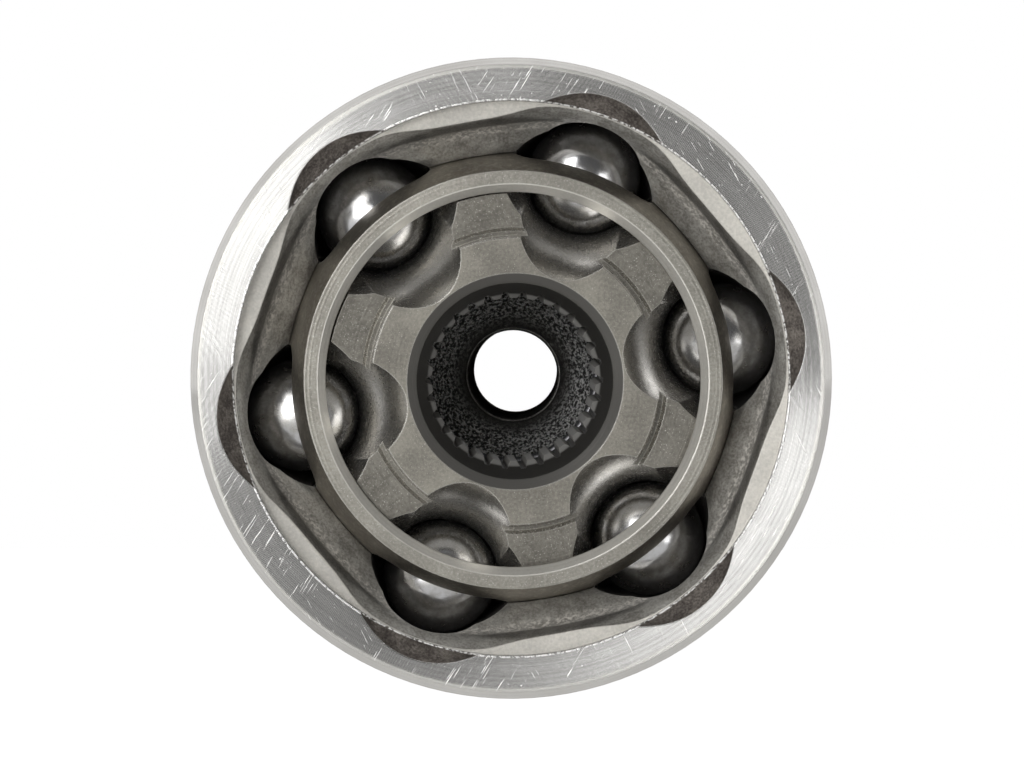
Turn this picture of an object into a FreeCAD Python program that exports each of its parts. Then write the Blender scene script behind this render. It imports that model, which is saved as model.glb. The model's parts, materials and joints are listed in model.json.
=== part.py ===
import FreeCAD, Part
import math
import os
import re

import Sketcher

# Fixed-centre (ball and cage) constant-velocity joint, the wheel-side one of a drive shaft.
# The joint centre is the origin and the bell's axis is Y: the mouth faces -Y, the hub stub
# points along +Y, and +Z is up. Millimetres and degrees. "depth" values are distances from
# the joint centre, towards the mouth for the mouth, the faces and the funnel, and towards
# the stub for the neck, the shoulder and the stub.

DRIVING_SIZES = {
    # how far a cut is drawn beyond the solid it trims
    "cut_margin": 5.0,
    # balls and their tracks
    "ball_count": 6,
    "ball_radius": 7.54,
    "pitch_radius": 28.4,
    "track_offset": 3.0,
    "track_radius": 7.7,
    "track_sweep": 96.0,
    "pattern_angle": 10.2,
    # how the loose inner parts lean in the bell
    "lean_angle": 3.4,
    "lean_axis_angle": 50.4,
    "ball_shift": 0.12,
    # bell of the outer race
    "bell_radius": 42.15,
    "mouth_depth": 15.5,
    "rim_bevel": 1.0,
    "turned_bevel": 1.0,
    "turned_fillet": 0.5,
    "boot_seat_radius": 41.2,
    "boot_seat_front": 11.2,
    "boot_seat_back": 2.2,
    "seat_step": 0.6,
    "band_back": 1.6,
    "bell_back_radius": 40.4,
    "socket_radius": 30.35,
    "edge_chamfer_radius": 10.4,
    "edge_chamfer_pitch": 24.6,
    # turned recess and forged funnel in the mouth
    "recess_radius": 36.5,
    "recess_depth": 13.2,
    "recess_floor_width": 8.0,
    "recess_floor_drop": 0.5,
    "floor_cone_radius": 15.0,
    "floor_cone_depth": 26.0,
    "floor_hole_depth": 32.5,
    # neck, bearing shoulder and hub stub
    "neck_radius": 21.0,
    "neck_depth": 35.6,
    "shoulder_radius": 23.4,
    "shoulder_depth": 38.0,
    "journal_radius": 14.6,
    "journal_end": 43.0,
    "stub_radius": 13.75,
    "stub_end": 99.0,
    "pilot_start": 95.0,
    "pilot_radius": 12.5,
    "bolt_hole_radius": 6.5,
    "bolt_chamfer": 1.3,
    "hub_teeth": 36,
    "hub_spline_start": 45.0,
    "hub_root_radius": 12.85,
    # cage
    "cage_outer_radius": 30.25,
    "cage_inner_radius": 26.95,
    "cage_face_depth": 12.4,
    "cage_mouth_radius": 24.75,
    "cage_bevel": 1.05,
    "window_height": 15.4,
    "window_width": 19.2,
    "window_corner": 3.0,
    # inner race
    "race_radius": 26.8,
    "race_face_depth": 10.2,
    "hub_face_depth": 12.0,
    "hub_face_radius": 19.2,
    "hub_face_bevel": 0.3,
    "race_step_radius": 20.3,
    "race_step_cut": 0.5,
    "bore_mouth_radius": 14.3,
    "bore_lead_radius": 13.0,
    "bore_lead_depth": 10.9,
    "race_track_sweep": 170.0,
    "race_edge_radius": 14.7,
    "race_edge_pitch": 37.75,
    "shaft_teeth": 30,
    "shaft_tip_radius": 10.85,
    "shaft_root_radius": 11.75,
    "spline_start_depth": 8.6,
    "spline_lead": 1.66,
    # gaps between spline teeth: how far they reach past the tips, and their two widths as
    # shares of a tooth pitch
    "gap_overreach": 0.4,
    "gap_open_share": 0.74,
    "gap_root_share": 0.22,
    # shaft snap ring in its groove
    "ring_depth": 8.0,
    "ring_wire_radius": 0.8,
    "ring_pitch_radius": 12.0,
    "ring_groove_half": 0.85,
    "ring_gap_angle": 24.0,
}

# The forged funnel as closed six-lobed waves, from above the mouth down into the socket:
# depth, radius at the middle of a lobe, radius at the middle of a land, how abruptly one
# passes into the other, and how much wider (or narrower) than a land a lobe is.
FUNNEL_WAVES = [
    (17.0, 40.8, 34.6, 1.0, -0.5),
    (15.5, 39.1, 34.5, 1.0, -0.5),
    (13.2, 36.45, 34.25, 1.5, 0.3),
    (11.4, 35.1, 33.6, 1.4, 0.2),
    (9.4, 34.5, 33.15, 1.0, 0.0),
    (8.0, 34.0, 32.2, 0.6, 0.0),
    (6.3, 33.0, 29.9, 0.4, 0.0),
    (4.4, 31.9, 27.6, 0.4, 0.0),
]

# Points drawn on each lobe of a funnel wave.
POINTS_PER_LOBE = 24

# Radius of the ball centres' path about the centre of its track.
TRACK_PITCH = "(pitch_radius ^ 2 + track_offset ^ 2) ^ 0.5"

# The least volume that counts as a cut, and the largest difference between equal lengths.
LEAST_CUT = 1.0
SAME_LENGTH = 0.01

doc = FreeCAD.newDocument("cv_joint")
sheet = doc.addObject("Spreadsheet::Sheet", "sizes")
for row, (alias, number) in enumerate(DRIVING_SIZES.items(), start=1):
    sheet.set("A%d" % row, alias)
    sheet.set("B%d" % row, str(number))
    sheet.setAlias("B%d" % row, alias)
doc.recompute()


def bound(text):
    """Turn the words of a size expression into references to the sheet."""
    return re.sub(r"[a-z][a-z_]+", lambda word: "sizes." + word.group(0), text)


def size(text):
    """The present value of a size expression."""
    return float(sheet.evalExpression(text))


def origin_feature(body, role):
    return [item for item in body.Origin.OriginFeatures if item.Role == role][0]


def new_sketch(body, name, plane="XY_Plane", depth=None, turn=None):
    """A sketch on one of the body's own planes. On XZ_Plane, depth moves it towards the
    mouth and turn rotates it about the joint axis."""
    sketch = body.newObject("Sketcher::SketchObject", name)
    sketch.AttachmentSupport = [(origin_feature(body, plane), "")]
    sketch.MapMode = "FlatFace"
    if depth:
        sketch.setExpression("AttachmentOffset.Base.z", bound(depth))
    if turn:
        sketch.AttachmentOffset = FreeCAD.Placement(
            FreeCAD.Vector(), FreeCAD.Rotation(FreeCAD.Vector(0, 0, 1), size(turn)))
        sketch.setExpression("AttachmentOffset.Rotation.Angle", bound(turn) + " * 1 deg")
    return sketch


def bind_point(sketch, edge, end, across, along):
    """Hold one end of an edge at two size expressions measured from the origin."""
    for kind, text in (("DistanceX", across), ("DistanceY", along)):
        number = sketch.addConstraint(Sketcher.Constraint(kind, -1, 1, edge, end, size(text)))
        sketch.setExpression("Constraints[%d]" % number, bound(text))


def draw_outline(sketch, corners):
    """A closed outline of straight edges, every corner bound to the sheet."""
    points = [FreeCAD.Vector(size(across), size(along), 0) for across, along in corners]
    count = len(points)
    for index in range(count):
        sketch.addGeometry(Part.LineSegment(points[index], points[(index + 1) % count]))
    for index in range(count):
        sketch.addConstraint(Sketcher.Constraint("Coincident", index, 2, (index + 1) % count, 1))
    for index, (across, along) in enumerate(corners):
        bind_point(sketch, index, 1, across, along)


def draw_circle(sketch, across, along, radius):
    """A circle with its centre and radius bound to the sheet."""
    centre = FreeCAD.Vector(size(across), size(along), 0)
    edge = sketch.addGeometry(Part.Circle(centre, FreeCAD.Vector(0, 0, 1), size(radius)))
    bind_point(sketch, edge, 3, across, along)
    number = sketch.addConstraint(Sketcher.Constraint("Radius", edge, size(radius)))
    sketch.setExpression("Constraints[%d]" % number, bound(radius))


def turned(body, kind, name, corners):
    """A Revolution or Groove of an outline given as radius and place along Y."""
    sketch = new_sketch(body, name + "_outline")
    draw_outline(sketch, corners)
    feature = body.newObject("PartDesign::" + kind, name)
    feature.Profile = sketch
    feature.ReferenceAxis = (sketch, ["V_Axis"])
    feature.Angle = 360
    doc.recompute()
    return feature


def turned_ball(body, kind, name, radius):
    """A ball about the joint centre, added or removed, with its poles on the joint axis."""
    sketch = new_sketch(body, name + "_outline")
    reach = FreeCAD.Vector(0, size(radius), 0)
    circle = Part.Circle(FreeCAD.Vector(), FreeCAD.Vector(0, 0, 1), size(radius))
    sketch.addGeometry(Part.ArcOfCircle(circle, -math.pi / 2, math.pi / 2))
    sketch.addGeometry(Part.LineSegment(reach, reach.negative()))
    sketch.addConstraint(Sketcher.Constraint("Coincident", 0, 3, -1, 1))
    sketch.addConstraint(Sketcher.Constraint("Coincident", 0, 2, 1, 1))
    sketch.addConstraint(Sketcher.Constraint("Coincident", 1, 2, 0, 1))
    sketch.addConstraint(Sketcher.Constraint("PointOnObject", 0, 1, -2))
    sketch.addConstraint(Sketcher.Constraint("PointOnObject", 0, 2, -2))
    number = sketch.addConstraint(Sketcher.Constraint("Radius", 0, size(radius)))
    sketch.setExpression("Constraints[%d]" % number, bound(radius))
    feature = body.newObject("PartDesign::" + kind, name)
    feature.Profile = sketch
    feature.ReferenceAxis = (sketch, ["V_Axis"])
    feature.Angle = 360
    doc.recompute()
    return feature


def removes(body, feature, volume_before):
    """A cut that misses the solid shows no error, so its volume is compared."""
    doc.recompute()
    if body.Shape.Volume > volume_before - LEAST_CUT:
        raise RuntimeError(feature.Label + " removes nothing")


def draw_arc(sketch, centre_across, radius, start, end):
    """An arc centred on the sketch's horizontal axis, counter-clockwise between two angles."""
    centre = FreeCAD.Vector(size(centre_across), 0, 0)
    circle = Part.Circle(centre, FreeCAD.Vector(0, 0, 1), size(radius))
    edge = sketch.addGeometry(Part.ArcOfCircle(circle, start, end))
    bind_point(sketch, edge, 3, centre_across, "0")
    number = sketch.addConstraint(Sketcher.Constraint("Radius", edge, size(radius)))
    sketch.setExpression("Constraints[%d]" % number, bound(radius))
    return edge


def track_cut(body, depth, edge_pitch, edge_radius, sweep):
    """One ball track with chamfered edges: a cut in the shape of a ring about the tangential
    axis at a depth along the joint axis. Its section is the track's circle joined to a wider
    one that bevels the edges of the lands."""
    sketch = new_sketch(body, "ball_track_section", "XZ_Plane", depth, "pattern_angle")
    track, edges = size(TRACK_PITCH), size(edge_pitch)
    crossing = track ** 2 - edges ** 2 - size("track_radius") ** 2 + size(edge_radius) ** 2
    crossing /= 2 * (track - edges)
    half = math.sqrt(size("track_radius") ** 2 - (crossing - track) ** 2)
    track_turn = math.atan2(half, crossing - track)
    edge_turn = math.atan2(half, crossing - edges)
    outward = track > edges
    if outward:
        track_arc = draw_arc(sketch, TRACK_PITCH, "track_radius", -track_turn, track_turn)
        edge_arc = draw_arc(sketch, edge_pitch, edge_radius, edge_turn, -edge_turn)
    else:
        track_arc = draw_arc(sketch, TRACK_PITCH, "track_radius", track_turn, -track_turn)
        edge_arc = draw_arc(sketch, edge_pitch, edge_radius, -edge_turn, edge_turn)
    sketch.addConstraint(Sketcher.Constraint("Coincident", track_arc, 2, edge_arc, 1))
    sketch.addConstraint(Sketcher.Constraint("Coincident", edge_arc, 2, track_arc, 1))
    before = body.Shape.Volume
    groove = body.newObject("PartDesign::Groove", "ball_track")
    groove.Profile = sketch
    groove.ReferenceAxis = (sketch, ["V_Axis"])
    groove.Midplane = True
    groove.setExpression("Angle", bound(sweep) + " * 1 deg")
    removes(body, groove, before)
    return groove


def around(body, name, originals, count):
    """Repeat features about the joint axis."""
    pattern = body.newObject("PartDesign::PolarPattern", name)
    pattern.Originals = originals
    pattern.Axis = (origin_feature(body, "Y_Axis"), [""])
    pattern.Angle = 360
    pattern.setExpression("Occurrences", bound(count))
    body.Tip = pattern
    doc.recompute()
    return pattern


def spline_gap(body, name, teeth, tip, root, depth, both_ways):
    """One gap between spline teeth, a trapezoid from beyond the tips down to the roots."""
    sketch = new_sketch(body, name + "_section", "XZ_Plane", depth)
    inward = 1 if size(root) > size(tip) else -1
    tip_edge = "%s - %d * gap_overreach" % (tip, inward)
    wide = "%s * %.6f / %s * gap_open_share" % (tip, math.pi, teeth)
    narrow = "%s * %.6f / %s * gap_root_share" % (root, math.pi, teeth)
    draw_outline(sketch, [(tip_edge, "-(%s)" % wide), (root, "-(%s)" % narrow),
                          (root, narrow), (tip_edge, wide)])
    before = body.Shape.Volume
    pocket = body.newObject("PartDesign::Pocket", name)
    pocket.Profile = sketch
    pocket.Type = "ThroughAll"
    pocket.Midplane = both_ways
    removes(body, pocket, before)
    return pocket


def soften(body, name, rings):
    """Fillet the turned edges found at the given radii and places along Y."""
    names = []
    for number, edge in enumerate(body.Shape.Edges, start=1):
        if edge.Degenerated or not isinstance(edge.Curve, Part.Circle):
            continue
        for ring_radius, ring_place in rings:
            near = abs(edge.Curve.Radius - size(ring_radius)) < SAME_LENGTH
            if near and abs(edge.Curve.Center.y - size(ring_place)) < SAME_LENGTH:
                names.append("Edge%d" % number)
    base = body.Tip
    fillet = body.newObject("PartDesign::Fillet", name)
    fillet.Base = (base, names)
    fillet.setExpression("Radius", bound("turned_fillet"))
    doc.recompute()
    return fillet


def wave_sketch(body, name, depth, lobe, land, abruptness, breadth):
    """One closed wave of the funnel, a lobe at each track."""
    sketch = new_sketch(body, name, "XZ_Plane", turn="pattern_angle")
    sketch.AttachmentOffset = FreeCAD.Placement(
        FreeCAD.Vector(0, 0, depth), sketch.AttachmentOffset.Rotation)
    lobes = int(size("ball_count"))
    crest = math.tanh(abruptness * (breadth + 1))
    trough = math.tanh(abruptness * (breadth - 1))
    points = []
    steps = POINTS_PER_LOBE * lobes
    for step in range(steps):
        angle = 2 * math.pi * step / steps
        height = math.tanh(abruptness * (breadth + math.cos(lobes * angle)))
        radius = land + (lobe - land) * (height - trough) / (crest - trough)
        points.append(FreeCAD.Vector(radius * math.cos(angle), radius * math.sin(angle), 0))
    curve = Part.BSplineCurve()
    curve.interpolate(points, PeriodicFlag=True)
    sketch.addGeometry(curve)
    return sketch


def make_outer_race():
    body = doc.addObject("PartDesign::Body", "outer_race")
    turned_ball(body, "Revolution", "bell_back", "bell_back_radius")
    turned(body, "Revolution", "bell_and_stub", [
        ("0", "-mouth_depth"),
        ("bell_radius - rim_bevel", "-mouth_depth"),
        ("bell_radius", "-mouth_depth + rim_bevel"),
        ("bell_radius", "-boot_seat_front - seat_step"),
        ("boot_seat_radius", "-boot_seat_front"),
        ("boot_seat_radius", "-boot_seat_back"),
        ("bell_radius", "-boot_seat_back + seat_step"),
        ("bell_radius", "band_back"),
        ("bell_back_radius - turned_bevel", "band_back + 2 * seat_step"),
        ("neck_radius", "band_back + 2 * seat_step"),
        ("neck_radius", "neck_depth"),
        ("shoulder_radius", "neck_depth"),
        ("shoulder_radius", "shoulder_depth"),
        ("journal_radius", "shoulder_depth"),
        ("journal_radius", "journal_end"),
        ("stub_radius", "journal_end + turned_bevel"),
        ("stub_radius", "pilot_start"),
        ("pilot_radius", "pilot_start + turned_bevel"),
        ("pilot_radius", "stub_end - turned_bevel"),
        ("pilot_radius - turned_bevel", "stub_end"),
        ("0", "stub_end"),
    ])
    turned(body, "Groove", "mouth_cut", [
        ("0", "-bell_radius - cut_margin"),
        ("bell_radius + cut_margin", "-bell_radius - cut_margin"),
        ("bell_radius + cut_margin", "-mouth_depth"),
        ("recess_radius", "-mouth_depth"),
        ("recess_radius", "-recess_depth"),
        ("recess_radius - recess_floor_width", "-recess_depth + recess_floor_drop"),
        ("recess_radius - recess_floor_width", "0"),
        ("0", "0"),
    ])
    soften(body, "turned_edges", [
        ("neck_radius", "neck_depth"),
        ("shoulder_radius", "neck_depth"),
        ("shoulder_radius", "shoulder_depth"),
        ("bell_radius", "band_back"),
    ])
    turned(body, "Groove", "floor_and_bolt_hole", [
        ("0", "0"),
        ("floor_cone_radius", "0"),
        ("floor_cone_radius", "floor_cone_depth"),
        ("bolt_hole_radius + bolt_chamfer", "floor_hole_depth"),
        ("bolt_hole_radius", "floor_hole_depth + bolt_chamfer"),
        ("bolt_hole_radius", "stub_end - bolt_chamfer"),
        ("bolt_hole_radius + bolt_chamfer", "stub_end"),
        ("0", "stub_end"),
    ])
    turned_ball(body, "Groove", "socket", "socket_radius")
    waves = []
    for number, wave in enumerate(FUNNEL_WAVES, start=1):
        waves.append(wave_sketch(body, "funnel_wave_%d" % number, *wave))
    before = body.Shape.Volume
    funnel = body.newObject("PartDesign::SubtractiveLoft", "forged_funnel")
    funnel.Profile = waves[0]
    funnel.Sections = waves[1:]
    funnel.Ruled = False
    removes(body, funnel, before)
    track = track_cut(body, "track_offset", "edge_chamfer_pitch", "edge_chamfer_radius",
                      "track_sweep")
    around(body, "ball_tracks", [track], "ball_count")
    gap = spline_gap(body, "hub_spline_gap", "hub_teeth", "stub_radius", "hub_root_radius",
                     "-hub_spline_start", False)
    around(body, "hub_spline", [gap], "hub_teeth")
    return body


def lean(body, share):
    """Turn a loose part about the lean axis through the joint centre."""
    heading = math.radians(size("lean_axis_angle"))
    axis = FreeCAD.Vector(math.cos(heading), 0, math.sin(heading))
    body.Placement = FreeCAD.Placement(
        FreeCAD.Vector(), FreeCAD.Rotation(axis, share * size("lean_angle")))
    body.setExpression("Placement.Rotation.Angle", "%g * %s * 1 deg" % (share, bound("lean_angle")))


def make_cage():
    body = doc.addObject("PartDesign::Body", "cage")
    turned_ball(body, "Revolution", "outside", "cage_outer_radius")
    beyond = "cage_outer_radius + cut_margin"
    for side, sign in (("mouth", "-"), ("stub", "")):
        turned(body, "Groove", side + "_face", [
            ("0", "%s(%s)" % (sign, beyond)),
            (beyond, "%s(%s)" % (sign, beyond)),
            (beyond, "%scage_face_depth" % sign),
            ("cage_mouth_radius + cage_bevel", "%scage_face_depth" % sign),
            ("cage_mouth_radius", "%s(cage_face_depth - cage_bevel)" % sign),
            ("cage_mouth_radius", "0"),
            ("0", "0"),
        ])
    turned_ball(body, "Groove", "inside", "cage_inner_radius")
    sketch = new_sketch(body, "window_outline")
    # The sketch faces +Z, a quarter turn from +X, and is turned to face the second ball.
    second_ball = size("pattern_angle + 360 / ball_count")
    toward_ball = FreeCAD.Rotation(FreeCAD.Vector(0, 1, 0), 90 - second_ball)
    sketch.AttachmentOffset = FreeCAD.Placement(FreeCAD.Vector(), toward_ball)
    half_width = "window_width / 2"
    half_height = "window_height / 2"
    draw_outline(sketch, [("-" + half_width, "-" + half_height), (half_width, "-" + half_height),
                          (half_width, half_height), ("-" + half_width, half_height)])
    before = body.Shape.Volume
    window = body.newObject("PartDesign::Pocket", "window")
    window.Profile = sketch
    window.Type = "ThroughAll"
    window.Reversed = True
    removes(body, window, before)
    around(body, "windows", [window], "ball_count")
    corners = ["Edge%d" % number for number, edge in enumerate(body.Shape.Edges, start=1)
               if not edge.Degenerated and isinstance(edge.Curve, Part.Line)]
    base = body.Tip
    fillet = body.newObject("PartDesign::Fillet", "window_corners")
    fillet.Base = (base, corners)
    fillet.setExpression("Radius", bound("window_corner"))
    doc.recompute()
    lean(body, 0.5)
    return body


def make_inner_race():
    body = doc.addObject("PartDesign::Body", "inner_race")
    turned_ball(body, "Revolution", "race_ball", "race_radius")
    beyond = "race_radius + cut_margin"
    for side, sign in (("mouth", "-"), ("stub", "")):
        turned(body, "Groove", side + "_side", [
            ("0", "%s(%s)" % (sign, beyond)),
            (beyond, "%s(%s)" % (sign, beyond)),
            (beyond, "%srace_face_depth" % sign),
            ("race_step_radius", "%srace_face_depth" % sign),
            ("race_step_radius - race_step_cut", "%s(race_face_depth - race_step_cut)" % sign),
            ("hub_face_radius", "%s(race_face_depth - race_step_cut)" % sign),
            ("hub_face_radius", "%s(hub_face_depth - hub_face_bevel)" % sign),
            ("hub_face_radius - hub_face_bevel", "%shub_face_depth" % sign),
            ("bore_mouth_radius", "%shub_face_depth" % sign),
            ("bore_lead_radius", "%sbore_lead_depth" % sign),
            ("shaft_root_radius", "%sspline_start_depth" % sign),
            ("shaft_tip_radius", "%s(spline_start_depth - spline_lead)" % sign),
            ("shaft_tip_radius", "0"),
            ("0", "0"),
        ])
    turned(body, "Groove", "ring_groove", [
        ("0", "ring_depth - ring_groove_half"),
        ("ring_pitch_radius + ring_wire_radius", "ring_depth - ring_groove_half"),
        ("ring_pitch_radius + ring_wire_radius", "ring_depth + ring_groove_half"),
        ("0", "ring_depth + ring_groove_half"),
    ])
    track = track_cut(body, "-track_offset", "race_edge_pitch", "race_edge_radius",
                      "race_track_sweep")
    around(body, "ball_tracks", [track], "ball_count")
    gap = spline_gap(body, "shaft_spline_gap", "shaft_teeth", "shaft_tip_radius",
                     "shaft_root_radius", "0", True)
    around(body, "shaft_spline", [gap], "shaft_teeth")
    lean(body, 1)
    return body


def make_snap_ring():
    body = doc.addObject("PartDesign::Body", "shaft_snap_ring")
    sketch = new_sketch(body, "wire_section")
    draw_circle(sketch, "ring_pitch_radius", "ring_depth", "ring_wire_radius")
    wire = body.newObject("PartDesign::Revolution", "wire")
    wire.Profile = sketch
    wire.ReferenceAxis = (sketch, ["V_Axis"])
    wire.setExpression("Angle", "360 deg - %s * 1 deg" % bound("ring_gap_angle"))
    doc.recompute()
    lean(body, 1)
    return body


def ball_centre(azimuth):
    """Where a ball sits: in its track, on the plane that halves the joint angle."""
    offset = size("track_offset")
    pitch = size(TRACK_PITCH)
    from_lean_axis = math.radians(azimuth - size("lean_axis_angle"))
    tilt = -math.tan(math.radians(size("lean_angle")) / 2) * math.sin(from_lean_axis)
    along = -math.asin(offset / (pitch * math.hypot(1, tilt))) - math.atan(tilt)
    along += size("ball_shift") * math.sin(from_lean_axis) ** 2 / pitch
    reach = pitch * math.cos(along)
    heading = math.radians(azimuth)
    return FreeCAD.Vector(reach * math.cos(heading), -offset - pitch * math.sin(along),
                          reach * math.sin(heading))


def make_balls():
    balls = []
    count = int(size("ball_count"))
    for number in range(count):
        ball = doc.addObject("Part::Sphere", "ball_%d" % (number + 1))
        ball.setExpression("Radius", bound("ball_radius"))
        centre = ball_centre(size("pattern_angle") + 360 / count * number)
        ball.Placement = FreeCAD.Placement(centre, FreeCAD.Rotation())
        balls.append(ball)
    return balls


def write_parts(pieces):
    """Check the document and each piece, then write one STEP file per piece."""
    doc.recompute()
    for item in doc.Objects:
        if "Invalid" in item.State or "Error" in item.State:
            raise RuntimeError(item.Label + " failed to recompute")
    os.makedirs("parts", exist_ok=True)
    for piece in pieces:
        shape = piece.Shape
        if shape.isNull() or not shape.isValid() or len(shape.Solids) != 1:
            raise RuntimeError(piece.Label + " is not one valid solid")
        shape.exportStep("parts/%s.step" % piece.Label)
        print("%-16s %10.1f mm3" % (piece.Label, shape.Volume))


write_parts([make_outer_race(), make_cage(), make_inner_race(), make_snap_ring()] + make_balls())
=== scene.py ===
import json
import math

import bpy
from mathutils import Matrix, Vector


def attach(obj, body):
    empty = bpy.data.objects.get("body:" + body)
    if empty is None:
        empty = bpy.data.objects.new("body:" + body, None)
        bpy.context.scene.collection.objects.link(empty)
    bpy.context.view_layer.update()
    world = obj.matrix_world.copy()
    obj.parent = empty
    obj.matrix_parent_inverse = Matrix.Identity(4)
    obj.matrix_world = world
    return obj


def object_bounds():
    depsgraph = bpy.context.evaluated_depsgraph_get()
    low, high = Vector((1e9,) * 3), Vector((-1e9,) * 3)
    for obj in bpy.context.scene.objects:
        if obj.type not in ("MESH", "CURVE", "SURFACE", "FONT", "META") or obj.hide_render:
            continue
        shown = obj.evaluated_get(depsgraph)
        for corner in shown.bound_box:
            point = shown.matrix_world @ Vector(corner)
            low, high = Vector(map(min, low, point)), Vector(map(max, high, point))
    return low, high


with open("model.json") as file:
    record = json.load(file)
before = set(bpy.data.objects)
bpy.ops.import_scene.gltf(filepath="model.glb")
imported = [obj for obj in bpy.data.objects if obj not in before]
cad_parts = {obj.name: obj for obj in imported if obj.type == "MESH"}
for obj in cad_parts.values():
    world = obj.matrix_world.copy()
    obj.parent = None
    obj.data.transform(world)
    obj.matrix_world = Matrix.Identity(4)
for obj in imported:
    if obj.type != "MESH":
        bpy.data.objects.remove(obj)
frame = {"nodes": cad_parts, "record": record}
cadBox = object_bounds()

mm = 0.001
print("frame loaded:", len(frame["nodes"]), "nodes")


# A shader socket that is used in plain expressions.
class Wire:
    def __init__(self, tree, socket=None):
        self.tree = tree
        self.socket = socket

    # Any node: its type, its settings, then the values or links of its sockets.
    def node(self, kind, settings=None, inputs=None, out=0):
        made = self.tree.nodes.new("ShaderNode" + kind)
        for name, value in (settings or {}).items():
            setattr(made, name, value)
        for name, value in (inputs or {}).items():
            if isinstance(value, Wire):
                self.tree.links.new(value.socket, made.inputs[name])
            elif isinstance(value, tuple) and made.inputs[name].type == "RGBA":
                made.inputs[name].default_value = (*value, 1)
            else:
                made.inputs[name].default_value = value
        return Wire(self.tree, made.outputs[out])

    def maths(self, operation, *values):
        return self.node("Math", {"operation": operation}, dict(enumerate(values)))

    def __add__(self, other):
        return self.maths("ADD", self, other)

    def __radd__(self, other):
        return self.maths("ADD", other, self)

    def __sub__(self, other):
        return self.maths("SUBTRACT", self, other)

    def __rsub__(self, other):
        return self.maths("SUBTRACT", other, self)

    def __mul__(self, other):
        return self.maths("MULTIPLY", self, other)

    def __rmul__(self, other):
        return self.maths("MULTIPLY", other, self)

    def __neg__(self):
        return self.maths("MULTIPLY", self, -1)

    def larger(self, other):
        return self.maths("MAXIMUM", self, other)

    # 0 at low, 1 at high and smooth between; low may be the larger one.
    def step(self, low, high):
        settings = {"interpolation_type": "SMOOTHSTEP"}
        return self.node("MapRange", settings, {"Value": self, "From Min": low, "From Max": high})

    # 1 close to a value, falling to 0 at the width from it.
    def near(self, value, width, flat=0.4):
        return self.maths("ABSOLUTE", self - value).step(width, width * flat)

    # A colour between two, with this as the factor.
    def between(self, first, second):
        return self.node("Mix", {"data_type": "RGBA"}, {0: self, 6: first, 7: second}, 2)

    def scaled(self, factor):
        return self.node("VectorMath", {"operation": "SCALE"}, {0: self, "Scale": factor})

    def dot(self, other):
        return self.node("VectorMath", {"operation": "DOT_PRODUCT"}, {0: self, 1: other}, "Value")

    def turned(self, axis, angle):
        return self.node("VectorRotate", {}, {"Vector": self, "Axis": axis, "Angle": angle})

    # Noise over a place in millimetres, with lumps about that many millimetres across.
    def noise(self, lump, detail, rough):
        inputs = {"Vector": self, "Scale": 1 / lump, "Detail": detail, "Roughness": rough}
        return self.node("TexNoise", {}, inputs)

    # Noise along one number, for uneven lines left by a tool.
    def lines(self, pitch, detail):
        inputs = {"W": self, "Scale": 1 / pitch, "Detail": detail}
        return self.node("TexNoise", {"noise_dimensions": "1D"}, inputs)

    # The even feed marks of a lathe along one number, from 0 to 1.
    def feed(self, pitch):
        return self.maths("SINE", self * (2 * math.pi / pitch)) * 0.5 + 0.5

    # Thin scratches that run one way in the plane of the mouth, in degrees from +X.
    # The higher the crest, the fewer there are.
    def scratches(self, heading, length, width, crest, fade=0.05):
        level = self.turned((0, 1, 0), math.radians(heading))
        shrink = (1 / length, 1 / length, 1 / width)
        drawn = self.node("VectorMath", {"operation": "MULTIPLY"}, {0: level, 1: shrink})
        return self.node("TexNoise", {}, {"Vector": drawn, "Scale": 1.0}).step(crest, crest + fade)


# Places on a piece in millimetres: whole, distance from the joint axis, depth to the mouth.
# Azimuth is in radians; facing is 1 where the surface looks straight out of the mouth.
# A turn levels a piece that leans at rest.
class Place:
    def __init__(self, tree, turn=None):
        start = Wire(tree)
        self.whole = start.node("TexCoord", out="Object").scaled(1 / mm)
        normal = start.node("TexCoord", out="Normal")
        if turn is not None:
            self.whole = self.whole.turned(*turn)
            normal = normal.turned(*turn)
        x, y, z = (start.node("SeparateXYZ", {}, {0: self.whole}, axis) for axis in "XYZ")
        flat = start.node("CombineXYZ", {}, {"X": x, "Z": z})
        self.facing = normal.dot((0, -1, 0))
        self.depth = -y
        self.radius = start.node("VectorMath", {"operation": "LENGTH"}, {0: flat}, "Value")
        self.azimuth = start.maths("ARCTAN2", z, x)


# Noise keeps close to 0.5; this is where it turns from dark to light.
evenSpread = (0.3, 0.7)


# Two textures in one; the second has what the first leaves.
def mixed(first, second, share=0.5):
    return first * share + second * (1 - share)


def newMaterial(name):
    material = bpy.data.materials.new(name)
    material.use_nodes = True
    material.node_tree.nodes.clear()
    return material, material.node_tree


def toOutput(surface, kind="Material"):
    output = surface.tree.nodes.new("ShaderNodeOutput" + kind)
    surface.tree.links.new(surface.socket, output.inputs["Surface"])


# The one shader that every metal here ends in.
def metal(tree, colour, metallic, roughness, normal):
    inputs = {"Base Color": colour, "Metallic": metallic, "Roughness": roughness, "Normal": normal}
    toOutput(Wire(tree).node("BsdfPrincipled", {}, inputs))


# Relief of a height in millimetres, over another normal where one is given.
def bump(height, distance, strength=1.0, normal=None):
    inputs = {"Height": height, "Distance": distance * mm, "Strength": strength}
    if normal is not None:
        inputs["Normal"] = normal
    return height.node("Bump", {}, inputs)


def roundedEdges(tree, radius, samples=4):
    return Wire(tree).node("Bevel", {"samples": samples}, {"Radius": radius * mm})


# 0 on a face, 1 on an edge, by the cosine of the rounded edge's turn from its face; edges are
# lightened with it as wear and as painted highlight.
def edgeWearAndHighlight(tree, rounded, start=0.995, full=0.9):
    return rounded.dot(Wire(tree).node("NewGeometry", out="Normal")).step(start, full)


def paint(node, material):
    mesh = frame["nodes"][node].data
    for index in range(len(mesh.materials)):
        mesh.materials[index] = material


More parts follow.
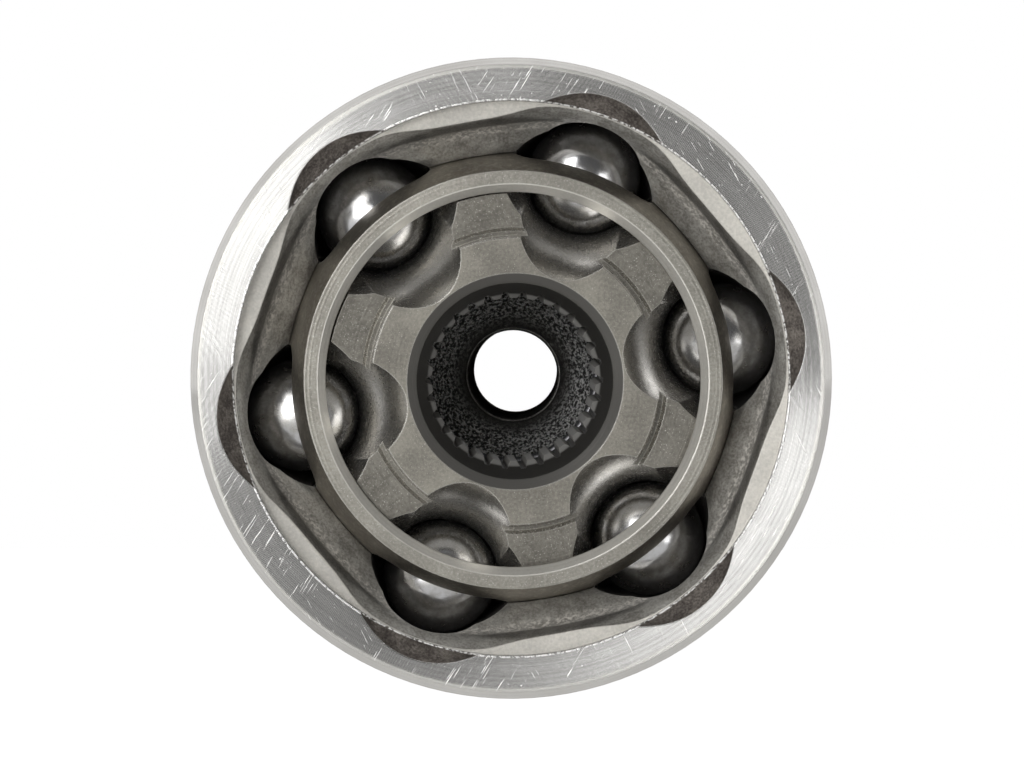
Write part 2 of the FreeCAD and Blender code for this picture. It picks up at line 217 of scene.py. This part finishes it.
# The studio: camera, lamps, white room and floor.
studio = {
    "cameraDistance": 826.0,     # millimetres in front of the mouth
    "cameraRight": 4.96,         # and to the right of the joint axis
    "cameraUp": 9.27,
    "aimRight": 0.131,           # the point in the mouth's plane that it looks at
    "aimUp": -0.735,
    "lens": 221.3,
    "clipStart": 0.01,           # metres
    "lampDistance": 0.95,        # metres
    # Degrees round the view from +X, degrees off the view axis, width and height in metres, watts.
    "lamps": {
        "key_upper_left": (150, 34, (0.40, 0.85), 4.55),
        "fill_lower_right": (340, 42, (0.35, 0.70), 1.95),
        "lens_upper_left": (145, 15, (0.28, 0.28), 1.1),     # reaches down the bore
    },
    "roomLight": 0.25,
    "frontLight": 0.12,          # what polished metal sees in front of the mouth
    "frontFade": (-0.8, 0.3),    # from there to the white behind the joint, by the heading's Y
    "floorHalf": 2.0,            # metres
    "floorDrop": 58.0,           # millimetres below the bell
    "floorGlow": 0.82,           # brings the lit paper up to white
    "floorInMetal": 0.4,         # share of that glow that metal mirrors
    "paperLight": (0.86, 0.86, 0.85),
    "paperShade": (0.82, 0.82, 0.81),
    "paperGrain": (4.0, 2.0, 0.5),    # size in millimetres, detail, roughness
    "paperRough": 0.9,
}


def makeCamera():
    look = studio
    mouth = Vector((0, cadBox[0][1], 0))
    place = mouth + Vector((look["cameraRight"], -look["cameraDistance"], look["cameraUp"])) * mm
    aim = mouth + Vector((look["aimRight"], 0, look["aimUp"])) * mm
    camera = bpy.data.objects.new("camera", bpy.data.cameras.new("camera"))
    camera.location = place
    camera.rotation_euler = (aim - place).to_track_quat("-Z", "Y").to_euler()
    camera.data.lens = look["lens"]
    camera.data.clip_start = look["clipStart"]
    bpy.context.collection.objects.link(camera)
    bpy.context.scene.camera = camera


# A soft box that faces the joint from an azimuth round the view and an angle off the view axis.
def makeLamp(name, azimuth, offAxis, size, power):
    turn = math.radians(azimuth)
    off = math.radians(offAxis)
    side = Vector((math.cos(turn), 0, math.sin(turn))) * math.sin(off)
    place = (side + Vector((0, -1, 0)) * math.cos(off)) * studio["lampDistance"]
    lamp = bpy.data.objects.new(name, bpy.data.lights.new(name, "AREA"))
    lamp.data.shape = "RECTANGLE"
    lamp.data.size, lamp.data.size_y = size
    lamp.data.energy = power
    lamp.location = place
    lamp.rotation_euler = (-place).to_track_quat("-Z", "Y").to_euler()
    bpy.context.collection.objects.link(lamp)


# Two masks: 1 for what the eye sees, and 1 for what metal or glass shows of it.
def eyeAndMirror(start):
    seen, glossy, through = (start.node("LightPath", out="Is %s Ray" % ray)
                             for ray in ("Camera", "Glossy", "Transmission"))
    return seen, glossy.larger(through)


# White to the eye and behind the joint, dim in front, plain grey for the light that it gives.
def makeRoom():
    look = studio
    world = bpy.data.worlds.new("room")
    bpy.context.scene.world = world
    world.use_nodes = True
    world.node_tree.nodes.clear()
    start = Wire(world.node_tree)
    heading = start.node("TexCoord", out="Generated")
    behind = start.node("SeparateXYZ", {}, {0: heading}, "Y").step(*look["frontFade"])
    seen, mirrored = eyeAndMirror(start)
    inMetal = behind * (1 - look["frontLight"]) + look["frontLight"]
    strength = mirrored * (inMetal - look["roomLight"]) + look["roomLight"]
    strength = seen * (1 - strength) + strength
    glow = start.node("Background", {}, {"Color": (1, 1, 1), "Strength": strength})
    toOutput(glow, "World")


def makeFloor():
    look = studio
    height = cadBox[0][2] - look["floorDrop"] * mm
    half = look["floorHalf"]
    mesh = bpy.data.meshes.new("floor")
    corners = [(-half, -half, height), (half, -half, height),
               (half, half, height), (-half, half, height)]
    mesh.from_pydata(corners, [], [(0, 1, 2, 3)])
    floor = bpy.data.objects.new("floor", mesh)
    bpy.context.collection.objects.link(floor)
    material, tree = newMaterial("floor_paper")
    start = Wire(tree)
    seen, mirrored = eyeAndMirror(start)
    glow = seen.larger(mirrored * look["floorInMetal"]) * look["floorGlow"]
    grain = start.node("TexCoord", out="Object").scaled(1 / mm).noise(*look["paperGrain"])
    paper = {"Base Color": grain.between(look["paperLight"], look["paperShade"]),
             "Roughness": look["paperRough"], "Emission Color": (1.0, 1.0, 1.0),
             "Emission Strength": glow}
    toOutput(start.node("BsdfPrincipled", {}, paper))
    mesh.materials.append(material)


makeCamera()
makeRoom()
for name, settings in studio["lamps"].items():
    makeLamp(name, *settings)
makeFloor()
view = bpy.context.scene.view_settings
view.view_transform = "Standard"
print("studio made")


# The outer race: a forged bell with a turned rim, seats and stub.
outerRace = {
    "edgeRadius": 0.3,
    # Where each finish, painted shade and painted highlight lies, in millimetres: none of it at the
    # first value, all at the second.
    "rimDepth": (15.45, 15.48),
    "rimRadius": (36.0, 36.4),
    "lipRadius": (40.5, 41.0),
    "bandDepth": (-3.0, -2.5),
    "bandRadius": (40.6, 41.0),
    "ledgeRadius": (33.6, 33.9),
    "stubDepth": (-35.3, -35.7),
    "insideDepth": (-32.0, -30.0),
    "insideRadius": (40.0, 39.6),
    # Below this the inside of the bell is painted darker as shade.
    "deepDepth": (5.5, 3.5),
    "scoopRadius": (36.2, 36.6),
    "wallShadeRadius": (34.7, 34.1),
    "crestRadius": (31.2, 32.0),
    "coneFront": (-19.0, -21.0),
    "coneBack": (-34.6, -34.2),
    "holeDepth": (-31.8, -32.4),
    "holeRadius": (6.7, 6.6),
    # The recess edge carries a painted highlight line, broken like chips.
    "edgeGlintDepth": (13.0, 13.3),
    # Bands: the middle and the reach to either side, in millimetres.
    "ledgeBand": (13.2, 0.09),
    # The steep wall under the recess is painted darker as shade, over its forged grain.
    "wallShadeBand": (11.3, 1.9),
    # The crest is painted with a highlight line and burnished specks.
    "crestBand": (8.9, 1.3),
    "coneBand": (11.2, 4.9),
    "recessRadius": 36.5,
    "recessSlope": 0.0625,       # the ledge rises towards the middle
    # Noise: size in millimetres, detail, roughness.
    "lumps": (2.6, 5.0, 0.62),
    "grit": (0.35, 3.0, 0.6),
    "specks": (0.5, 2.0, 0.6),
    "stains": (9.0, 3.0, 0.55),
    "patches": (12.0, 2.0, 0.5),
    "pits": (1.1, 4.0, 0.7),
    # Where a noise turns from none to all of what it makes.
    "forgedSpread": (0.32, 0.70),
    "scaleSpread": (0.35, 0.70),
    "ledgeSpread": (0.25, 0.8),
    "sparkSpread": (0.44, 0.60),
    "pitSpread": (0.58, 0.70),
    "spotSpread": (0.46, 0.60),
    "edgeGlintSpread": (0.38, 0.56),
    "nickSpread": (0.69, 0.73),
    "risingSpread": (0.46, 0.58),
    "fallingSpread": (0.52, 0.40),
    # Tool marks: pitch in millimetres, and the detail of uneven ones.
    "feedPitch": 0.15,
    "wideLines": (1.3, 2.0),
    "fineLines": (0.40, 1.5),
    # Scratches: heading in degrees, length, width, crest.
    "rising": (58, 4.5, 0.18, 0.66),
    "falling": (118, 3.5, 0.17, 0.675),
    # Edges lightened as wear and as painted highlight.
    "edgeWearAndHighlight": 0.7,
    "forgedMetallic": 0.62,
    "turnedMetallic": 0.97,
    "forgedRough": 0.30,
    "turnedRough": 0.10,
    "reliefHeight": 0.30,        # of the forged skin, millimetres
    "cutHeight": 0.0105,         # of the tool marks and scratches
    "turnedSteel": (0.46, 0.455, 0.445),
    "turnedShade": (0.30, 0.295, 0.285),
    "lipSteel": (0.56, 0.55, 0.52),
    "seatSteel": (0.74, 0.725, 0.70),
    "seatShade": (0.58, 0.565, 0.54),
    "ledgeSteel": (0.60, 0.58, 0.53),
    "ledgeShade": (0.38, 0.367, 0.34),
    "forgedDark": (0.22, 0.21, 0.19),
    "forgedLight": (0.50, 0.49, 0.46),
    "scaleDark": (0.06, 0.05, 0.045),
    "scaleLight": (0.24, 0.215, 0.19),
    # Painted shade on the steep wall under the recess.
    "wallShadeDark": (0.10, 0.095, 0.09),
    "wallShadeLight": (0.27, 0.26, 0.24),
    "skinDark": (0.10, 0.095, 0.09),
    "skinLight": (0.20, 0.19, 0.18),
    # Painted shade deep in the bell and in the bolt hole.
    "deepShadeSteel": (0.13, 0.125, 0.12),
    "floorShade": (0.06, 0.058, 0.055),
    # Worn edges and burnished specks, with painted highlight on edges and the crest.
    "wearAndHighlightSteel": (0.66, 0.63, 0.58),
    # Nicks, scratches, the floor cone's sparkle, and the painted highlight along the recess edge.
    "nickSteel": (0.95, 0.94, 0.92),
}


def makeBellSteel():
    look = outerRace
    material, tree = newMaterial("bell_steel")
    at = Place(tree)
    depth = at.depth
    radius = at.radius
    rounded = roundedEdges(tree, look["edgeRadius"])
    wornAndLitEdge = edgeWearAndHighlight(tree, rounded)

    # Where each finish, painted shade and painted highlight lies: 1 on it, 0 elsewhere.
    rim = depth.step(*look["rimDepth"]) * radius.step(*look["rimRadius"])
    lip = rim * radius.step(*look["lipRadius"])
    band = radius.step(*look["bandRadius"]) * depth.step(*look["bandDepth"])
    levelDepth = depth + (look["recessRadius"] - radius) * look["recessSlope"]
    ledge = levelDepth.near(*look["ledgeBand"]) * radius.step(*look["ledgeRadius"])
    stub = depth.step(*look["stubDepth"])
    inside = radius.step(*look["insideRadius"]) * depth.step(*look["insideDepth"])
    # Deep inside the bell, painted darker as shade.
    deep = depth.step(*look["deepDepth"]) * inside
    scoop = radius.step(*look["scoopRadius"]) * inside
    # The steep wall under the recess, painted darker as shade.
    drawn = depth.near(*look["wallShadeBand"]) * inside * radius.step(*look["wallShadeRadius"])
    crest = depth.near(*look["crestBand"]) * inside * radius.step(*look["crestRadius"])
    cone = depth.step(*look["coneFront"]) * depth.step(*look["coneBack"])
    cone = radius.near(*look["coneBand"]) * cone
    # The bolt hole wall, painted darker as shade.
    boltHole = radius.step(*look["holeRadius"]) * depth.step(*look["holeDepth"])
    outside = (1 - inside) * (1 - cone) * (1 - boltHole)
    machined = rim.larger(band).larger(stub)
    bright = machined.larger(ledge)

    # What the finishes are mottled and marked with.
    lumps = at.whole.noise(*look["lumps"])
    grit = at.whole.noise(*look["grit"])
    speck = at.whole.noise(*look["specks"])
    stain = at.whole.noise(*look["stains"])
    patch = at.whole.noise(*look["patches"])
    pitted = at.whole.noise(*look["pits"])
    wide = radius.lines(*look["wideLines"])
    feedLines = radius.feed(look["feedPitch"])
    ringLines = radius.lines(*look["fineLines"])
    sideLines = depth.lines(*look["fineLines"])
    rising = at.whole.scratches(*look["rising"]) * patch.step(*look["risingSpread"])
    falling = at.whole.scratches(*look["falling"]) * patch.step(*look["fallingSpread"])
    scratch = rising.larger(falling) * rim
    # A painted highlight line along the recess edge, broken like chips, joined with the nicks on the
    # rim.
    edge = radius.near(look["recessRadius"] + 0.1, 0.08 + speck * 0.17)
    chippedEdgeGlint = edge * depth.step(*look["edgeGlintDepth"]) * speck.step(*look["edgeGlintSpread"])
    nick = chippedEdgeGlint.larger(speck.step(*look["nickSpread"]) * rim)
    mark = scratch.larger(nick)

    # Each finish and painted shade on its own, from dark to light.
    forging = mixed(lumps, grit)
    forged = forging.step(*look["forgedSpread"]).between(look["forgedDark"], look["forgedLight"])
    scale = forging.step(*look["scaleSpread"]).between(look["scaleDark"], look["scaleLight"])
    # Painted shade over the forged grain of the steep wall.
    wallShade = forging.step(*evenSpread).between(look["wallShadeDark"], look["wallShadeLight"])
    skin = mixed(lumps, stain, 0.6).step(*evenSpread)
    skin = skin.between(look["skinDark"], look["skinLight"])
    skin = pitted.step(*look["pitSpread"]).between(skin, look["forgedLight"])
    # Painted shade deep in the bell, mottled.
    deepShade = mixed(grit, stain).step(*evenSpread).between(look["deepShadeSteel"], look["skinLight"])
    rings = (wide * 0.35 + ringLines * 0.35 + stain * 0.3).step(*evenSpread)
    turned = rings.between(look["turnedShade"], look["turnedSteel"])
    turned = lip.between(turned, look["lipSteel"])
    seat = mixed(wide, stain).step(*evenSpread).between(look["seatShade"], look["seatSteel"])
    shelf = mixed(grit, stain).step(*look["ledgeSpread"])
    shelf = shelf.between(look["ledgeShade"], look["ledgeSteel"])
    sparkle = mixed(speck, grit, 0.4).step(*look["sparkSpread"])
    sparkle = sparkle.between(look["floorShade"], look["nickSteel"])

    # The finishes and the painted shade laid over one another, the last on top.
    layers = [(inside, forged), (drawn, wallShade), (scoop, scale), (deep, deepShade),
              (band.larger(stub), seat), (rim, turned), (ledge, shelf), (cone, sparkle),
              (boltHole, look["deepShadeSteel"])]
    colour = skin
    for where, finish in layers:
        colour = where.between(colour, finish)
    # A painted highlight line along the crest, with burnished specks.
    crestBurnishAndHighlight = crest * (speck.step(*look["spotSpread"]) * 0.75 + 0.18)
    # Edges and the crest lightened as wear and as painted highlight.
    rubbed = (wornAndLitEdge * look["edgeWearAndHighlight"]).larger(crestBurnishAndHighlight) * (1 - machined)
    colour = rubbed.between(colour, look["wearAndHighlightSteel"])
    colour = mark.between(colour, look["nickSteel"])

    metallic = look["forgedMetallic"] - cone * 0.25 - rubbed * 0.4
    metallic = bright * (look["turnedMetallic"] - look["forgedMetallic"]) + metallic
    dull = look["forgedRough"] + lumps * 0.16 + scoop * 0.15 + cone * 0.2 + boltHole * 0.2
    shine = look["turnedRough"] + grit * 0.05 + lip * 0.2 + ledge * 0.35
    rough = dull * (1 - bright) + bright * shine + mark * 0.25

    relief = lumps * 0.7 + grit * (0.2 + scoop * 0.3 + cone * 0.6) + pitted * outside * 0.9
    relief = relief * (1 - bright) * (1 - deep * 0.8)
    cut = feedLines * rim + sideLines * band.larger(stub) * 1.4
    cut = cut + (feedLines * 0.5 + grit * 2.0) * ledge
    normal = bump(relief, look["reliefHeight"], 0.9, rounded)
    normal = bump(cut + scratch + nick * 2.0, look["cutHeight"], 1.0, normal)
    metal(tree, colour, metallic, rough, normal)
    return material


paint("outer_race", makeBellSteel())
print("outer race painted")


# The thread in the bolt hole, in millimetres.
boltThread = {
    "pitch": 1.5,
    "hole": 6.5,                 # radius that the ridges stand on
    "ridge": 0.36,               # how far they stand in from it
    "start": 34.6,
    "length": 61.0,
    "sides": 48,                 # edges to a turn
    "grit": (0.3, 3.0, 0.6),
    "stains": (4.0, 2.0, 0.5),
    "gritHeight": 0.02,
    "steel": (0.55, 0.53, 0.50),
    "shade": (0.20, 0.19, 0.18),
    "metallic": 0.85,
    "rough": 0.38,
}


# A right-handed helix along +Y with a three-sided ridge swept along it.
def makeThreadTree(material):
    tree = bpy.data.node_groups.new("bolt_thread", "GeometryNodeTree")
    for name in ("hole", "ridge", "pitch", "start", "length"):
        tree.interface.new_socket(name=name, in_out="INPUT", socket_type="NodeSocketFloat")
    tree.interface.new_socket(name="Geometry", in_out="OUTPUT", socket_type="NodeSocketGeometry")

    def add(kind, links=None, **settings):
        made = tree.nodes.new(kind)
        for name, value in settings.items():
            setattr(made, name, value)
        for name, value in (links or {}).items():
            if isinstance(value, bpy.types.NodeSocket):
                tree.links.new(value, made.inputs[name])
            else:
                made.inputs[name].default_value = value
        return made.outputs

    given = add("NodeGroupInput")
    turns = add("ShaderNodeMath", {0: given["length"], 1: given["pitch"]}, operation="DIVIDE")[0]
    helix = add("GeometryNodeCurveSpiral", {
        "Resolution": boltThread["sides"], "Rotations": turns, "Start Radius": given["hole"],
        "End Radius": given["hole"], "Height": given["length"]})[0]
    upright = add("GeometryNodeSetCurveNormal", {"Curve": helix})[0]
    upright.node.mode = "Z_UP"
    section = add("GeometryNodeCurvePrimitiveCircle", {"Resolution": 3, "Radius": given["ridge"]})[0]
    ridge = add("GeometryNodeCurveToMesh", {
        "Curve": upright, "Profile Curve": section, "Fill Caps": True})[0]
    place = add("ShaderNodeCombineXYZ", {"Y": given["start"]})[0]
    along = add("GeometryNodeTransform", {
        "Geometry": ridge, "Translation": place, "Rotation": (-math.pi / 2, 0, 0)})[0]
    whole = add("GeometryNodeRealizeInstances", {"Geometry": along})[0]
    dressed = add("GeometryNodeSetMaterial", {"Geometry": whole, "Material": material})[0]
    add("NodeGroupOutput", {"Geometry": dressed})
    return tree


# The result of a node tree as a plain mesh object at the origin.
def settle(name, tree, sizes):
    piece = bpy.data.objects.new(name, bpy.data.meshes.new(name))
    bpy.context.collection.objects.link(piece)
    modifier = piece.modifiers.new("nodes", "NODES")
    modifier.node_group = tree
    for item in tree.interface.items_tree:
        if item.in_out == "INPUT":
            modifier[item.identifier] = sizes[item.name] * mm
    graph = bpy.context.evaluated_depsgraph_get()
    mesh = bpy.data.meshes.new_from_object(piece.evaluated_get(graph))
    piece.modifiers.clear()
    piece.data = mesh
    return piece


def makeThreadSteel():
    look = boltThread
    material, tree = newMaterial("thread_steel")
    at = Place(tree)
    grit = at.whole.noise(*look["grit"])
    stain = at.whole.noise(*look["stains"])
    colour = mixed(grit, stain).step(*evenSpread).between(look["shade"], look["steel"])
    rough = look["rough"] + grit * 0.2
    metal(tree, colour, look["metallic"], rough, bump(grit, look["gritHeight"]))
    return material


thread = settle("bolt_thread", makeThreadTree(makeThreadSteel()), boltThread)
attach(thread, "hub_side")
print("bolt thread:", len(thread.data.polygons), "faces")


# The turn that levels what leans with the shaft, in whole or in part.
def levelTurn(share):
    mounts = {mount["name"]: mount for mount in frame["record"]["mounts"]}
    shaftAxis = Vector(mounts["shaft_spline"]["axis"])
    lean = Vector((0, -1, 0)).rotation_difference(shaftAxis)
    return lean.axis, -lean.angle * share


# The cage: hardened, with a ground face and lead.
cage = {
    "lean": 0.5,                 # share of the shaft's
    "edgeRadius": 0.25,
    # Where each finish and the painted light lies, in millimetres: none of it at the first value,
    # all at the second.
    "leadDepth": (10.5, 11.5),
    "leadRadius": (26.0, 25.8),
    "faceDepth": (12.33, 12.38),
    # Noise: size in millimetres, detail, roughness.
    "grit": (0.4, 3.0, 0.6),
    "stains": (7.0, 3.0, 0.5),
    "grains": (0.16, 2.0, 0.6),
    "rubs": (0.9, 4.0, 0.7),
    # Where a noise turns from none to all of what it makes.
    "mottleSpread": (0.32, 0.68),
    "grainSpread": (0.62, 0.78),
    "rubSpread": (0.50, 0.66),
    "lines": (0.3, 1.5),         # pitch and detail
    "gritHeight": 0.020,
    # Share of painted light on the lead chamfer, which faces the dark inside.
    "leadPaintedLight": 0.55,
    # Edges lightened as wear and as painted highlight.
    "edgeWearAndHighlight": 0.8,
    "bandSteel": (0.52, 0.485, 0.42),
    "bandShade": (0.22, 0.20, 0.17),
    "faceSteel": (0.37, 0.355, 0.315),
    "faceShade": (0.215, 0.205, 0.18),
    # Worn specks, and painted highlight on edges and the lead chamfer.
    "wearAndHighlightSteel": (0.76, 0.74, 0.69),
    "metallic": 0.9,
    "rough": 0.32,
}


def makeCageSteel():
    look = cage
    material, tree = newMaterial("cage_steel")
    at = Place(tree, levelTurn(look["lean"]))
    rounded = roundedEdges(tree, look["edgeRadius"])
    wornAndLitEdge = edgeWearAndHighlight(tree, rounded)
    lead = at.radius.step(*look["leadRadius"]) * at.depth.step(*look["leadDepth"])
    face = at.depth.step(*look["faceDepth"]).larger(lead)
    grit = at.whole.noise(*look["grit"])
    stain = at.whole.noise(*look["stains"])
    grain = at.whole.noise(*look["grains"]).step(*look["grainSpread"])
    rubbed = at.whole.noise(*look["rubs"]).step(*look["rubSpread"])
    mottle = mixed(grit, stain).step(*look["mottleSpread"])
    dark = mixed(mottle, rubbed, 0.6).between(look["bandShade"], look["bandSteel"])
    light = mottle.between(look["faceShade"], look["faceSteel"])
    light = grain.between(light, look["wearAndHighlightSteel"])
    colour = face.between(dark, light)
    # The lead chamfer is painted lighter as light; edges lightened as wear and as painted highlight.
    colour = (lead * look["leadPaintedLight"]).between(colour, look["wearAndHighlightSteel"])
    colour = (wornAndLitEdge * look["edgeWearAndHighlight"]).between(colour, look["wearAndHighlightSteel"])
    rough = look["rough"] + grit * 0.12
    relief = grit * 0.5 + at.radius.lines(*look["lines"]) * face
    normal = bump(relief, look["gritHeight"], 1.0, rounded)
    metal(tree, colour, look["metallic"], rough, normal)
    return material


# The inner race: ground faces, polished tracks and a broached bore.
innerRace = {
    "edgeRadius": 0.25,
    # Where each finish lies: none of it at the first value, all at the second.
    "faceFacing": (0.93, 0.98),
    "faceDepth": (9.0, 9.5),     # this and the rest in millimetres
    "faceRadius": (14.0, 14.3),
    "hubRadius": (19.4, 19.2),
    "boreRadius": (14.4, 14.2),
    "toothRadius": (11.6, 11.3),
    # Noise: size in millimetres, detail, roughness.
    "grit": (0.4, 3.0, 0.6),
    "stains": (6.0, 3.0, 0.5),
    "grains": (0.16, 2.0, 0.6),
    # Where a noise turns from none to all of what it makes.
    "mottleSpread": (0.32, 0.68),
    "grainSpread": (0.62, 0.76),
    "lines": (0.3, 1.5),         # pitch and detail
    "gritHeight": 0.018,
    # Edges lightened as wear and as painted highlight.
    "edgeWearAndHighlight": 0.5,
    "faceSteel": (0.24, 0.228, 0.20),
    "faceShade": (0.125, 0.118, 0.102),
    "hubSteel": (0.31, 0.295, 0.255),
    "hubShade": (0.17, 0.16, 0.14),
    "trackSteel": (0.50, 0.485, 0.45),
    "boreSteel": (0.15, 0.145, 0.135),
    "toothSteel": (0.42, 0.41, 0.39),
    # Worn specks, and painted highlight on edges.
    "wearAndHighlightSteel": (0.76, 0.74, 0.69),
    "metallic": 0.92,
    "rough": 0.32,
}


def makeRaceSteel():
    look = innerRace
    material, tree = newMaterial("race_steel")
    at = Place(tree, levelTurn(1))
    rounded = roundedEdges(tree, look["edgeRadius"])
    wornAndLitEdge = edgeWearAndHighlight(tree, rounded)
    face = at.facing.step(*look["faceFacing"]) * at.depth.step(*look["faceDepth"])
    face = face * at.radius.step(*look["faceRadius"])
    hub = at.radius.step(*look["hubRadius"]) * face
    bore = at.radius.step(*look["boreRadius"])
    tooth = at.radius.step(*look["toothRadius"])
    track = (1 - face) * (1 - bore)
    grit = at.whole.noise(*look["grit"])
    stain = at.whole.noise(*look["stains"])
    grain = at.whole.noise(*look["grains"]).step(*look["grainSpread"]) * face
    mottle = mixed(grit, stain).step(*look["mottleSpread"])
    colour = mottle.between(look["faceShade"], look["faceSteel"])
    # The last layer lightens edges as wear and as painted highlight.
    layers = [(hub, mottle.between(look["hubShade"], look["hubSteel"])), (grain, look["wearAndHighlightSteel"]),
              (track, look["trackSteel"]), (bore, look["boreSteel"]), (tooth, look["toothSteel"]),
              (wornAndLitEdge * look["edgeWearAndHighlight"], look["wearAndHighlightSteel"])]
    for where, finish in layers:
        colour = where.between(colour, finish)
    metallic = look["metallic"] - tooth * 0.35
    rough = look["rough"] + grit * 0.12 + face * 0.12 - track * 0.12
    relief = grit * 0.6 + at.radius.lines(*look["lines"]) * face.larger(bore)
    normal = bump(relief, look["gritHeight"], 1.0, rounded)
    metal(tree, colour, metallic, rough, normal)
    return material


# The balls: polished, with a thin film of oil.
balls = {
    "count": 6,
    "smears": (2.2, 4.0, 0.6),   # size in millimetres, detail, roughness
    "scratches": (0.5, 2.0, 0.5),
    "colourSpread": (0.35, 0.7),
    "roughSpread": (0.4, 0.75),
    "scratchHeight": 0.002,
    "steel": (0.54, 0.54, 0.55),
    "oiled": (0.40, 0.39, 0.37),
    "rough": 0.17,
    "oilRough": 0.14,            # added where the oil lies
}


def makeBallSteel():
    look = balls
    material, tree = newMaterial("ball_steel")
    at = Place(tree)
    smear = at.whole.noise(*look["smears"])
    scratch = at.whole.noise(*look["scratches"])
    colour = smear.step(*look["colourSpread"]).between(look["steel"], look["oiled"])
    rough = look["rough"] + smear.step(*look["roughSpread"]) * look["oilRough"]
    metal(tree, colour, 1.0, rough, bump(scratch, look["scratchHeight"]))
    return material


# The snap ring: drawn spring wire.
snapRing = {
    "drawLines": (0.02, 2.0),    # pitch in radians round the ring, detail
    "grit": (0.3, 3.0, 0.6),
    "gritHeight": 0.01,
    "steel": (0.26, 0.26, 0.27),
    "shade": (0.13, 0.13, 0.135),
    "metallic": 0.9,
    "rough": 0.3,
}


def makeWireSteel():
    look = snapRing
    material, tree = newMaterial("spring_wire")
    at = Place(tree, levelTurn(1))
    drawn = at.azimuth.lines(*look["drawLines"])
    grit = at.whole.noise(*look["grit"])
    colour = mixed(drawn, grit).step(*evenSpread).between(look["shade"], look["steel"])
    rough = look["rough"] + grit * 0.2
    metal(tree, colour, look["metallic"], rough, bump(grit, look["gritHeight"]))
    return material


paint("cage", makeCageSteel())
paint("inner_race", makeRaceSteel())
paint("shaft_snap_ring", makeWireSteel())
ballSteel = makeBallSteel()
for number in range(1, balls["count"] + 1):
    paint("ball_%d" % number, ballSteel)
print("inner parts painted")
